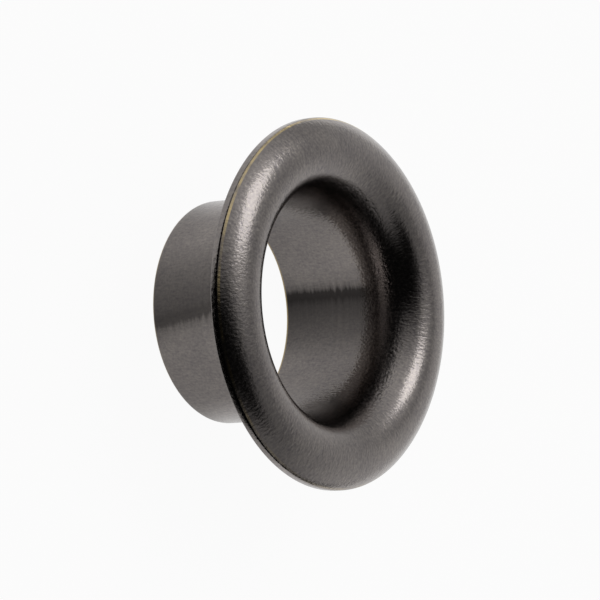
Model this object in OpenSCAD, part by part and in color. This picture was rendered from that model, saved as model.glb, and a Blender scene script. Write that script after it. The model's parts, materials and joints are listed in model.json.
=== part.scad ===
// Air vent grommet: a round eyelet formed from one disc of thin sheet metal.
// A straight barrel opens through a curved throat into a domed, rolled flange,
// hollow underneath, whose trimmed rim sits on the panel.
// The barrel's open end stands on z = 0 and the crown of the flange faces +Z.

/* [Sheet] */
// Thickness of the formed sheet
sheet_t = 0.25; // [0.15:0.01:0.4]

/* [Barrel] */
// Clear diameter of the air hole through the straight barrel
bore_d = 8; // [6:0.1:9]
// Overall height, from the barrel's open end to the crown
total_h = 6; // [4:0.1:14]
// Radius that rounds the outer edge of the barrel's open end
end_round = 0.15; // [0.06:0.01:0.2]
// Radius that breaks the sheet's other cut corners
edge_break = 0.05; // [0.02:0.01:0.06]

/* [Flange] */
// Outer diameter of the flange
flange_d = 14; // [13.2:0.1:16]
// Diameter of the circle along which the flange is highest
crown_d = 11.3; // [10.5:0.1:12]
// Depth of the dome, from the crown down to the rim's underside
crown_h = 0.98; // [0.9:0.01:1.2]
// Radius that rounds the dome into the trimmed edge of the rim
rim_round = 0.15; // [0.1:0.01:0.4]

/* [Throat] */
// Depth below the crown at which the throat becomes the straight barrel
throat_h = 2.5; // [2:0.1:3.5]

/* [Hidden] */

$fn = 128;
// Overshoot of the shapes that trim the profile
over = 2;

bore_r = bore_d / 2;
barrel_r = bore_r + sheet_t;
flange_r = flange_d / 2;
crown_r = crown_d / 2;
throat_z = total_h - throat_h;
rim_z = total_h - crown_h;
// The cut corners' roundings never take up more than their share of the sheet
end_r = min(end_round, 0.6 * sheet_t);
break_r = min(edge_break, 0.2 * sheet_t);

// The profile is drawn in the XZ plane, as arcs between these directions. Arcs
// hand over to each other along a 3-4-5 slope, which keeps their centres exact.
inward = [-1, 0];
outward = [1, 0];
up = [0, 1];
down = [0, -1];
slope_run = 0.8;
slope_rise = 0.6;
up_inward = [-slope_run, slope_rise];
up_outward = [slope_run, slope_rise];

// Outside the crown circle the dome's arc, level at the crown, runs on into the
// smaller arc that ends upright at the trimmed edge.
dome_roll = (flange_r - crown_r - rim_round * (1 - slope_run)) / slope_run;
dome_centre = [crown_r, total_h - dome_roll];
rim_centre = dome_centre + (dome_roll - rim_round) * up_outward;

// Inside it the flange's inner roll, level at the crown, runs on into the
// longer arc of the throat, which ends upright at the bore.
throat_run = crown_r - bore_r;
arc_sum = slope_run + slope_rise - 1;
inner_roll = (throat_run * slope_rise - throat_h * (1 - slope_run)) / arc_sum;
throat_roll = (throat_h * slope_run - throat_run * (1 - slope_rise)) / arc_sum;
inner_centre = [crown_r, total_h - inner_roll];
throat_centre = [bore_r + throat_roll, throat_z];

// Area within reach of a centre, clockwise from one direction to another
module wedge(centre, reach, from, to) {
    polygon([centre, centre + reach * to, centre + reach * (from + to), centre + reach * from]);
}

module disc(centre, radius) {
    translate(centre) circle(r = radius);
}

module box_between(low, high) {
    translate(low) square(high - low);
}

// Arc of sheet: its outer radius, and the directions it runs between
module sheet_arc(centre, radius, from, to) {
    intersection() {
        difference() {
            disc(centre, radius);
            disc(centre, radius - sheet_t);
        }
        wedge(centre, radius + over, from, to);
    }
}

// Rounded corner of a cut edge
module corner(centre, radius, from, to) {
    intersection() {
        disc(centre, radius);
        wedge(centre, radius + over, from, to);
    }
}

// Outer half of the flange: the dome, its rounding and the trimmed rim
module dome_profile() {
    foot_centre = [flange_r - break_r, rim_z + break_r];
    sheet_arc(dome_centre, dome_roll, up, up_outward);
    corner(rim_centre, rim_round, up_outward, outward);
    difference() {
        union() {
            box_between([crown_r, rim_z], foot_centre);
            box_between([crown_r, foot_centre[1]], [flange_r, rim_centre[1]]);
            corner(foot_centre, break_r, outward, down);
        }
        disc(dome_centre, dome_roll - sheet_t);
    }
}

// Inner half of the flange and the throat, down to the straight barrel
module throat_profile() {
    sheet_arc(inner_centre, inner_roll, up_inward, up);
    sheet_arc(throat_centre, throat_roll, inward, up_inward);
}

// Straight barrel, with its open end rounded outside and broken inside
module barrel_profile() {
    box_between([bore_r, end_r], [barrel_r, throat_z]);
    box_between([bore_r, break_r], [bore_r + break_r, end_r]);
    box_between([bore_r + break_r, 0], [barrel_r - end_r, end_r]);
    corner([bore_r + break_r, break_r], break_r, down, inward);
    corner([barrel_r - end_r, end_r], end_r, outward, down);
}

// The whole grommet: one formed sheet, turned about the hole's axis
module grommet() {
    color("dimgray")
        rotate_extrude()
            union() {
                barrel_profile();
                throat_profile();
                dome_profile();
            }
}

grommet();
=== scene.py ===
import json
from math import acos, ceil, cos, pi, radians, sin, tau

import bmesh
import bpy
from mathutils import Matrix, Vector


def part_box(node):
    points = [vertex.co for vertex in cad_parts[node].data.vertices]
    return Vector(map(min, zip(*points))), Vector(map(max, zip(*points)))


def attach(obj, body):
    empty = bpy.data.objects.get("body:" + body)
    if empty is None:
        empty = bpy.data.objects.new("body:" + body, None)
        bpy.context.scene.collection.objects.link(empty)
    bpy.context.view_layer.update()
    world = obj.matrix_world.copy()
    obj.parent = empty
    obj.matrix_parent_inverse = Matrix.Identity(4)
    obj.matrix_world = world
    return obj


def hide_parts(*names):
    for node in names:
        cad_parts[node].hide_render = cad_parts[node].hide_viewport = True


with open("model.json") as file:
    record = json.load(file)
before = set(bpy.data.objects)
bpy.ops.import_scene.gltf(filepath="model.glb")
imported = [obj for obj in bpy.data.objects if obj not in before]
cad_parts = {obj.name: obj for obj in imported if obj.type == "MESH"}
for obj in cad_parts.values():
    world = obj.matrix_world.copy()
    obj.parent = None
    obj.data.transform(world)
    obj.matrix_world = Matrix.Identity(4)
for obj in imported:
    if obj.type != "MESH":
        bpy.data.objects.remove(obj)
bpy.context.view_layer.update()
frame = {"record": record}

# Grommet
# One disc of sheet brass, drawn down into a straight barrel and rolled over into
# a domed flange, then trimmed. The sheet keeps its thickness, so the outline is
# walked once round both of its faces and turned about the hole's axis.
MM = 0.001
mounts = {mount["name"]: mount for mount in frame["record"]["mounts"]}
bore_radius = mounts["bore"]["dims"]["r_mm"] * MM
barrel_radius = mounts["barrel"]["dims"]["r_mm"] * MM
sheet = barrel_radius - bore_radius
flange_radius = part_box("grommet")[1].x
total_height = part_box("grommet")[1].z
crown_radius = 5.65 * MM
dome_depth = 0.98 * MM
throat_depth = 2.5 * MM
rim_height = total_height - dome_depth
throat_height = total_height - throat_depth
rim_rounding = 0.15 * MM
end_rounding = 0.15 * MM
broken_edge = 0.05 * MM

# The arcs hand over to each other where the sheet falls 4 in 3, as in a triangle
# of sides 3, 4 and 5, so a roll of radius 1 spans run and leaves rise below it
run = 0.8
rise = 0.6
steep = acos(rise)
shallow = pi / 2 - steep
dome_roll = (flange_radius - crown_radius - rim_rounding * (1 - run)) / run
throat_run = crown_radius - bore_radius
inner_roll = (throat_run * rise - throat_depth * (1 - run)) / (run + rise - 1)
throat_roll = (throat_depth * run - throat_run * (1 - rise)) / (run + rise - 1)
dome_centre = Vector((crown_radius, 0, total_height - dome_roll))
rim_centre = dome_centre + (dome_roll - rim_rounding) * Vector((run, 0, rise))
inner_centre = Vector((crown_radius, 0, total_height - inner_roll))
throat_centre = Vector((bore_radius + throat_roll, 0, throat_height))
foot_angle = acos((rim_height - dome_centre.z) / (dome_roll - sheet))

facet = 0.08 * MM
straight_facet = 0.25 * MM
fewest_facets = 5
facets_round = 240
weld_distance = 0.001 * MM


def run_to(outline, last, x, z):
    """Straight stretch of the outline, from its last point to a new one"""
    whole = Vector((x, 0, z)) - last.co
    steps = ceil(whole.length / straight_facet)
    moved = bmesh.ops.spin(
        outline, geom=[last], cent=(0, 0, 0), axis=(0, 1, 0), dvec=whole / steps, angle=0,
        steps=steps)
    return moved["geom_last"][0]


def bend(outline, last, centre, angle):
    """Round stretch of the outline, from its last point about a centre"""
    length = (last.co - centre).length * abs(angle)
    steps = max(fewest_facets, ceil(length / facet))
    turned = bmesh.ops.spin(
        outline, geom=[last], cent=centre, axis=(0, 1, 0), angle=angle, steps=steps)
    return turned["geom_last"][0]


outline = bmesh.new()
point = outline.verts.new((bore_radius, 0, broken_edge))
point = run_to(outline, point, bore_radius, throat_height)
point = bend(outline, point, throat_centre, shallow)
point = bend(outline, point, inner_centre, steep)
point = bend(outline, point, dome_centre, steep)
point = bend(outline, point, rim_centre, shallow)
point = run_to(outline, point, flange_radius, rim_height + broken_edge)
foot_centre = Vector((flange_radius - broken_edge, 0, rim_height + broken_edge))
point = bend(outline, point, foot_centre, pi / 2)
foot_x = dome_centre.x + (dome_roll - sheet) * sin(foot_angle)
point = run_to(outline, point, foot_x, rim_height)
point = bend(outline, point, dome_centre, -foot_angle)
point = bend(outline, point, inner_centre, -steep)
point = bend(outline, point, throat_centre, -shallow)
point = run_to(outline, point, barrel_radius, end_rounding)
end_centre = Vector((barrel_radius - end_rounding, 0, end_rounding))
point = bend(outline, point, end_centre, pi / 2)
point = run_to(outline, point, bore_radius + broken_edge, 0)
lip_centre = Vector((bore_radius + broken_edge, 0, broken_edge))
point = bend(outline, point, lip_centre, pi / 2)
bmesh.ops.remove_doubles(outline, verts=outline.verts, dist=weld_distance)

bmesh.ops.spin(
    outline, geom=outline.verts[:] + outline.edges[:], cent=(0, 0, 0), axis=(0, 0, 1),
    angle=tau, steps=facets_round, use_merge=True)
bmesh.ops.remove_doubles(outline, verts=outline.verts, dist=weld_distance)
bmesh.ops.recalc_face_normals(outline, faces=outline.faces)
for face in outline.faces:
    face.smooth = True


def by_corners(face):
    """A number for each face, because the turning leaves the faces in no fixed order"""
    numbers = [vert.index for vert in face.verts]
    return min(numbers) * len(outline.verts) + max(numbers)


outline.verts.index_update()
outline.faces.sort(key=by_corners)
shell_mesh = bpy.data.meshes.new("grommet_shell")
outline.to_mesh(shell_mesh)
outline.free()
shell = bpy.data.objects.new("grommet_shell", shell_mesh)
bpy.context.scene.collection.objects.link(shell)


def linear(code):
    """An sRGB hex colour as the linear red, green, blue and alpha of a socket"""
    parts = [int(code[i:i + 2], 16) / 255 for i in (1, 3, 5)]
    return [p / 12.92 if p <= 0.04045 else ((p + 0.055) / 1.055) ** 2.4 for p in parts] + [1]


def add_node(tree, kind, inputs=None, **settings):
    """A node with its settings, and its sockets set to values or linked to outputs"""
    node = tree.nodes.new(kind)
    for name, value in settings.items():
        setattr(node, name, value)
    for socket, value in (inputs or {}).items():
        if isinstance(value, bpy.types.NodeSocket):
            tree.links.new(value, node.inputs[socket])
        else:
            node.inputs[socket].default_value = value
    return node


# Gunmetal plating over brass: black nickel dulled by tumbling, a satin metal with a
# fine grain. Drawing marks run the way the sheet flowed, down the barrel and out
# across the flange, and brass shows where the trimmed corners have rubbed, laid on
# heavier on one side as a painted highlight. The straight walls carry a painted
# dark reflection.
plating = bpy.data.materials.new("gunmetal_plated_brass")
plating.use_nodes = True
tree = plating.node_tree
surface = tree.nodes["Principled BSDF"]
surface.inputs["Metallic"].default_value = 1

coordinates = add_node(tree, "ShaderNodeTexCoord")
place = coordinates.outputs["Object"]
across = add_node(tree, "ShaderNodeVectorMath", {0: place, 1: (1, 1, 0)}, operation="MULTIPLY")
radius = add_node(tree, "ShaderNodeVectorMath", {0: across.outputs[0]}, operation="LENGTH")
radius = radius.outputs["Value"]
height = add_node(tree, "ShaderNodeSeparateXYZ", {0: place}).outputs["Z"]
bearing = add_node(tree, "ShaderNodeVectorMath", {0: across.outputs[0]}, operation="NORMALIZE")

# Real marks and real grain are a few hundredths of a millimetre wide, less than a
# pixel of the picture, so both are drawn as coarse as they need to show
mark_width = 0.085 * MM
mark_length = 0.22 * MM
mark_depth = 0.009 * MM
grain_width = 0.1 * MM
grain_depth = 0.008 * MM
brightest = 0.12
dullest = 0.24
around = add_node(
    tree, "ShaderNodeVectorMath", {0: bearing.outputs[0], "Scale": crown_radius / mark_width},
    operation="SCALE")
outward = add_node(tree, "ShaderNodeMath", {0: radius, 1: 1 / mark_length}, operation="MULTIPLY")
upward = add_node(tree, "ShaderNodeMath", {0: height, 1: 1 / mark_length}, operation="MULTIPLY")
outward_3d = add_node(tree, "ShaderNodeCombineXYZ", {"Z": outward.outputs[0]})
along = add_node(
    tree, "ShaderNodeVectorMath", {0: around.outputs[0], 1: outward_3d.outputs[0]},
    operation="ADD")
marks = add_node(
    tree, "ShaderNodeTexNoise",
    {"Vector": along.outputs[0], "W": upward.outputs[0], "Scale": 1, "Detail": 2},
    noise_dimensions="4D")
grain = add_node(
    tree, "ShaderNodeTexNoise", {"Vector": place, "Scale": 1 / grain_width, "Detail": 3})
mark_bump = add_node(
    tree, "ShaderNodeBump", {"Height": marks.outputs[0], "Distance": mark_depth, "Strength": 1})
grain_bump = add_node(
    tree, "ShaderNodeBump",
    {"Height": grain.outputs[0], "Distance": grain_depth, "Strength": 1,
     "Normal": mark_bump.outputs[0]})
tree.links.new(grain_bump.outputs[0], surface.inputs["Normal"])
dulled = add_node(
    tree, "ShaderNodeMapRange",
    {"Value": grain.outputs[0], "From Min": 0.3, "From Max": 0.7, "To Min": brightest,
     "To Max": dullest})
tree.links.new(dulled.outputs[0], surface.inputs["Roughness"])

# The nickel is a shade lighter and warmer where the grain, the marks and wide
# clouds left by the tank are strong
cloud_width = 1.5 * MM
clouds = add_node(
    tree, "ShaderNodeTexNoise", {"Vector": place, "Scale": 1 / cloud_width, "Detail": 3})
tint = add_node(
    tree, "ShaderNodeMath", {0: clouds.outputs[0], 1: 0.5, 2: -0.25}, operation="MULTIPLY_ADD")
tint = add_node(
    tree, "ShaderNodeMath", {0: grain.outputs[0], 1: tint.outputs[0]}, operation="ADD")
streaks = add_node(
    tree, "ShaderNodeMath", {0: marks.outputs[0], 1: 0.8, 2: -0.4}, operation="MULTIPLY_ADD")
tint = add_node(
    tree, "ShaderNodeMath", {0: streaks.outputs[0], 1: tint.outputs[0]}, operation="ADD")
plated = add_node(
    tree, "ShaderNodeMix",
    {0: tint.outputs[0], 6: linear("#7b7678"), 7: linear("#ada6a0")},
    data_type="RGBA")

# The straight walls darken by degrees along one side, up to a jagged edge. On the
# outer wall that edge leans and the dark is weaker. This is a painted reflection: a
# dark thing mirrored in the walls, put into the plating's colour.
shade_start = radians(-125)
shade_end = radians(-60)
darkening = (
    (0.085, 0), (0.195, 0.2), (0.347, 0.52), (0.5, 0.74), (0.609, 0.86), (0.67, 1),
    (0.723, 0.97), (0.76, 0.5), (0.815, 0.2), (0.94, 0))
outer_darkening = 0.8
tooth_width = 0.18 * MM
tooth_length = radians(5)
lean = radians(2) / MM
lean_start = radians(1.5)
shade_full_below = throat_height + 0.2 * MM
shade_gone_above = throat_height + 1.2 * MM
normal = add_node(tree, "ShaderNodeSeparateXYZ", {0: coordinates.outputs["Normal"]})
facing = add_node(
    tree, "ShaderNodeMath", {0: normal.outputs["Y"], 1: normal.outputs["X"]},
    operation="ARCTAN2")
teeth = add_node(
    tree, "ShaderNodeTexNoise", {"W": height, "Scale": 1 / tooth_width, "Detail": 4},
    noise_dimensions="1D")
jagged = add_node(
    tree, "ShaderNodeMath", {0: teeth.outputs[0], 1: tooth_length, 2: facing.outputs[0]},
    operation="MULTIPLY_ADD")
outer_wall = add_node(
    tree, "ShaderNodeMath", {0: radius, 1: bore_radius + sheet / 2}, operation="GREATER_THAN")
leaning = add_node(
    tree, "ShaderNodeMath", {0: height, 1: lean, 2: lean_start}, operation="MULTIPLY_ADD")
edge = add_node(
    tree, "ShaderNodeMath",
    {0: leaning.outputs[0], 1: outer_wall.outputs[0], 2: jagged.outputs[0]},
    operation="MULTIPLY_ADD")
shade = add_node(
    tree, "ShaderNodeMapRange",
    {"Value": edge.outputs[0], "From Min": shade_start, "From Max": shade_end})
shade = add_node(tree, "ShaderNodeValToRGB", {0: shade.outputs[0]})
shade.color_ramp.elements[1].color = (0, 0, 0, 1)
for position, darkened in darkening:
    shade.color_ramp.elements.new(position).color = (darkened, darkened, darkened, 1)
straight = add_node(
    tree, "ShaderNodeMapRange",
    {"Value": height, "From Min": shade_gone_above, "From Max": shade_full_below},
    interpolation_type="SMOOTHSTEP")
shade = add_node(
    tree, "ShaderNodeMath", {0: shade.outputs[0], 1: straight.outputs[0]}, operation="MULTIPLY")
strength = add_node(
    tree, "ShaderNodeMath", {0: outer_wall.outputs[0], 1: outer_darkening - 1, 2: 1},
    operation="MULTIPLY_ADD")
shade = add_node(
    tree, "ShaderNodeMath", {0: shade.outputs[0], 1: strength.outputs[0]}, operation="MULTIPLY")
# The plated colour with the painted dark reflection mixed in
with_painted_reflection = add_node(
    tree, "ShaderNodeMix",
    {0: shade.outputs[0], 6: plated.outputs[2], 7: linear("#3a3736")},
    data_type="RGBA")

# Brass shows at the rim's upper corner and at the outer edge of the barrel's open
# end, in patches, and along the whole inner edge of the end. At the rim and the end
# it is laid on mostly towards one side, where the lamp's highlight runs along the
# rim: there it is partly a painted highlight.
wear_depth = 0.07 * MM
end_wear_depth = 0.14 * MM
lip_wear_depth = 0.112 * MM
lip_wear_share = 0.8
patch_width = 0.9 * MM
worn_and_highlit_way = (-0.77, -0.64, 0)
rim_corner = rim_centre + rim_rounding * Vector((rise, 0, run))
end_corner = Vector((barrel_radius, 0, 0))
lip_corner = Vector((bore_radius, 0, 0))
section = add_node(tree, "ShaderNodeCombineXYZ", {"X": radius, "Z": height})


def near_corner(corner, reach):
    """How closely a place lies to a corner that runs round the hole's axis"""
    gap = add_node(
        tree, "ShaderNodeVectorMath", {0: section.outputs[0], 1: corner}, operation="DISTANCE")
    return add_node(
        tree, "ShaderNodeMapRange",
        {"Value": gap.outputs["Value"], "From Min": reach, "From Max": reach / 3},
        interpolation_type="SMOOTHSTEP")


rim_wear = near_corner(rim_corner, wear_depth)
end_wear = near_corner(end_corner, end_wear_depth)
lip_wear = near_corner(lip_corner, lip_wear_depth)
both_wear = add_node(
    tree, "ShaderNodeMath", {0: rim_wear.outputs[0], 1: end_wear.outputs[0]}, operation="ADD")
rubbed_and_highlit = add_node(
    tree, "ShaderNodeTexNoise", {"Vector": place, "Scale": 1 / patch_width, "Detail": 4})
rubbed_and_highlit = add_node(
    tree, "ShaderNodeMapRange",
    {"Value": rubbed_and_highlit.outputs[0], "From Min": 0.35, "From Max": 0.6, "To Min": 0.2, "To Max": 1})
# Heavier towards one side: partly a painted highlight along the rim, partly wear
worn_and_highlit_side = add_node(
    tree, "ShaderNodeVectorMath", {0: bearing.outputs[0], 1: worn_and_highlit_way},
    operation="DOT_PRODUCT")
worn_and_highlit_side = add_node(
    tree, "ShaderNodeMapRange",
    {"Value": worn_and_highlit_side.outputs["Value"], "From Min": -0.3, "From Max": 0.8, "To Min": 0.15})
rubbed_and_highlit = add_node(
    tree, "ShaderNodeMath", {0: rubbed_and_highlit.outputs[0], 1: worn_and_highlit_side.outputs[0]},
    operation="MULTIPLY")
worn_and_highlit = add_node(
    tree, "ShaderNodeMath", {0: both_wear.outputs[0], 1: rubbed_and_highlit.outputs[0]},
    operation="MULTIPLY")
worn_and_highlit = add_node(
    tree, "ShaderNodeMath", {0: lip_wear.outputs[0], 1: lip_wear_share, 2: worn_and_highlit.outputs[0]},
    operation="MULTIPLY_ADD")
shown = add_node(
    tree, "ShaderNodeMix",
    {0: worn_and_highlit.outputs[0], 6: with_painted_reflection.outputs[2], 7: linear("#e8d2a0")},
    data_type="RGBA")
tree.links.new(shown.outputs[2], surface.inputs["Base Color"])
shell_mesh.materials.append(plating)

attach(shell, "root")
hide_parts("grommet")

# Floor
# A sheet of white card that the grommet stands on, a white background to the
# camera with a trace of the grommet's soft shadow. The metal mirrors it grey,
# brighter past the barrel, and dark where it ends on the camera's side.
floor_reach = 2
floor_mesh = bpy.data.meshes.new("floor")
plane = bmesh.new()
bmesh.ops.create_grid(plane, x_segments=1, y_segments=1, size=floor_reach)
plane.to_mesh(floor_mesh)
plane.free()
floor = bpy.data.objects.new("floor", floor_mesh)
bpy.context.scene.collection.objects.link(floor)
card = bpy.data.materials.new("white_card")
card.use_nodes = True
tree = card.node_tree
tree.nodes.clear()
background_share = 0.95
mirrored_share = 0.4
far_share = 0.4
far_from = -2.5 * MM
far_to = 0.5 * MM
towards_near_edge = (0.37, -0.93, 0)
near_edge_from = 9 * MM
near_edge_to = 11 * MM

ray = add_node(tree, "ShaderNodeLightPath")
mirror = add_node(
    tree, "ShaderNodeMath",
    {0: ray.outputs["Is Glossy Ray"], 1: ray.outputs["Is Transmission Ray"]},
    operation="MAXIMUM")
place = add_node(tree, "ShaderNodeTexCoord").outputs["Object"]
from_axis = add_node(tree, "ShaderNodeVectorMath", {0: place}, operation="LENGTH")
outside = add_node(
    tree, "ShaderNodeMath", {0: from_axis.outputs["Value"], 1: barrel_radius},
    operation="GREATER_THAN")
farness = add_node(tree, "ShaderNodeSeparateXYZ", {0: place}).outputs["Y"]
far_side = add_node(
    tree, "ShaderNodeMapRange",
    {"Value": farness, "From Min": far_from, "From Max": far_to, "To Min": 0,
     "To Max": far_share},
    interpolation_type="SMOOTHSTEP")
nearness = add_node(
    tree, "ShaderNodeVectorMath", {0: place, 1: towards_near_edge}, operation="DOT_PRODUCT")
lit = add_node(
    tree, "ShaderNodeMapRange",
    {"Value": nearness.outputs["Value"], "From Min": near_edge_to, "From Max": near_edge_from},
    interpolation_type="SMOOTHSTEP")

mirror_share = add_node(
    tree, "ShaderNodeMath", {0: outside.outputs[0], 1: far_side.outputs[0], 2: mirrored_share},
    operation="MULTIPLY_ADD")
for factor in (mirror, lit):
    mirror_share = add_node(
        tree, "ShaderNodeMath", {0: mirror_share.outputs[0], 1: factor.outputs[0]},
        operation="MULTIPLY")
share = add_node(
    tree, "ShaderNodeMath",
    {0: ray.outputs["Is Camera Ray"], 1: background_share, 2: mirror_share.outputs[0]},
    operation="MULTIPLY_ADD")
unlit = add_node(tree, "ShaderNodeMath", {0: 1, 1: lit.outputs[0]}, operation="SUBTRACT")
unlit = add_node(
    tree, "ShaderNodeMath", {0: unlit.outputs[0], 1: mirror.outputs[0]}, operation="MULTIPLY")
paper_colour = add_node(
    tree, "ShaderNodeMix",
    {0: unlit.outputs[0], 6: linear("#f4f4f2"), 7: linear("#101010")}, data_type="RGBA")
paper = add_node(tree, "ShaderNodeBsdfDiffuse", {"Color": paper_colour.outputs[2]})
white = add_node(tree, "ShaderNodeEmission", {"Color": linear("#ffffff"), "Strength": 1})
mixed = add_node(
    tree, "ShaderNodeMixShader",
    {0: share.outputs[0], 1: paper.outputs[0], 2: white.outputs[0]})
add_node(tree, "ShaderNodeOutputMaterial", {"Surface": mixed.outputs[0]})
floor_mesh.materials.append(card)

# Room
# What the metal mirrors: pale walls, dark towards the camera and below the table's
# tilted edge, two white cards, a glow round the lamp and a black flag beside it.
# Bearings are from +X towards +Y, and rises are from the floor.
room = bpy.data.worlds.new("room")
room.use_nodes = True
bpy.context.scene.world = room
tree = room.node_tree
tree.nodes.clear()
direction = add_node(tree, "ShaderNodeTexCoord").outputs["Generated"]


def way(bearing, rise):
    """Unit vector towards a bearing and a rise, both in degrees"""
    level = Vector((cos(radians(bearing)), sin(radians(bearing)), 0))
    return level * cos(radians(rise)) + Vector((0, 0, sin(radians(rise))))


def glow(centre, start, full, brightness):
    """Light that grows with the cosine of the angle to a centre, from start to full"""
    cosine = add_node(
        tree, "ShaderNodeVectorMath", {0: direction, 1: centre}, operation="DOT_PRODUCT")
    return add_node(
        tree, "ShaderNodeMapRange",
        {"Value": cosine.outputs["Value"], "From Min": start, "From Max": full, "To Min": 0,
         "To Max": brightness},
        interpolation_type="SMOOTHSTEP").outputs[0]


darkness = 0.006
walls = glow(way(-83, 15), 0.79, 0.28, 0.29)
ceiling = glow(way(0, 90), 0.7, 0.83, -0.18)
side_card = glow(way(-165, 28), 0.47, 1, 0.44)
lamp_glow = glow(way(158, 60), 0.78, 1, 0.42)
flag = glow(way(-30, 57), 0.86, 1, -1)
far_card = glow(way(80, -15), 0.16, 1, 0.5)
above_table = glow(way(104, 75), 0.16, 0.24, 1)
seen = add_node(tree, "ShaderNodeMath", {0: walls, 1: ceiling, 2: walls}, operation="MULTIPLY_ADD")
for light in (side_card, lamp_glow):
    seen = add_node(tree, "ShaderNodeMath", {0: seen.outputs[0], 1: light}, operation="ADD")
seen = add_node(
    tree, "ShaderNodeMath", {0: seen.outputs[0], 1: flag, 2: seen.outputs[0]},
    operation="MULTIPLY_ADD")
seen = add_node(tree, "ShaderNodeMath", {0: seen.outputs[0], 1: far_card}, operation="ADD")
seen = add_node(
    tree, "ShaderNodeMath", {0: seen.outputs[0], 1: above_table, 2: darkness},
    operation="MULTIPLY_ADD")
mirrored = add_node(tree, "ShaderNodeBackground", {"Strength": seen.outputs[0]})
backdrop = add_node(tree, "ShaderNodeBackground", {"Color": linear("#ffffff"), "Strength": 1})
ray = add_node(tree, "ShaderNodeLightPath")
mixed = add_node(
    tree, "ShaderNodeMixShader",
    {0: ray.outputs["Is Camera Ray"], 1: mirrored.outputs[0], 2: backdrop.outputs[0]})
add_node(tree, "ShaderNodeOutputWorld", {"Surface": mixed.outputs[0]})

# Lamp
# One square soft box, over the side that the photograph has at its top.
towards_lamp = way(166, 59)
lamp_distance = 250 * MM
lamp_side = 120 * MM
lamp_brightness = 1.5
lamp_data = bpy.data.lights.new("soft_box", "AREA")
lamp_data.shape = "SQUARE"
lamp_data.size = lamp_side
lamp_data.energy = lamp_brightness * pi * lamp_side ** 2
lamp = bpy.data.objects.new("soft_box", lamp_data)
bpy.context.scene.collection.objects.link(lamp)
lamp.location = towards_lamp * lamp_distance
lamp.rotation_euler = towards_lamp.to_track_quat("Z", "Y").to_euler()

# Camera
# The photograph looks past the crown into the bore, from 52.6 degrees off the
# hole's axis, with that axis lying nearly level across the picture.
line_of_sight = radians(52.59)
tilt = radians(3.59)
focal_pixels = 4188
crown_pixels = 187.47
picture_size = 600
sensor_width = 36
crown_right = 47.97
crown_below = 2.43
axis_in_picture = Vector((sin(tilt), 0, cos(tilt)))
forward = Vector((0, sin(line_of_sight), 0)) - axis_in_picture * cos(line_of_sight)
picture_down = Vector((cos(tilt), 0, -sin(tilt)))
picture_right = picture_down.cross(forward)
distance = focal_pixels / crown_pixels * flange_radius
pixel = distance / focal_pixels
crown_place = Vector((0, 0, total_height))
camera_place = crown_place - forward * distance - (
    picture_right * crown_right + picture_down * crown_below) * pixel
camera_data = bpy.data.cameras.new("camera")
camera_data.sensor_width = sensor_width
camera_data.lens = sensor_width * focal_pixels / picture_size
camera_data.clip_start = 10 * MM
camera_data.clip_end = 10
camera = bpy.data.objects.new("camera", camera_data)
bpy.context.scene.collection.objects.link(camera)
turn = Matrix((picture_right, -picture_down, -forward)).transposed().to_4x4()
camera.matrix_world = Matrix.Translation(camera_place) @ turn
bpy.context.scene.camera = camera
bpy.context.scene.view_settings.view_transform = "Standard"
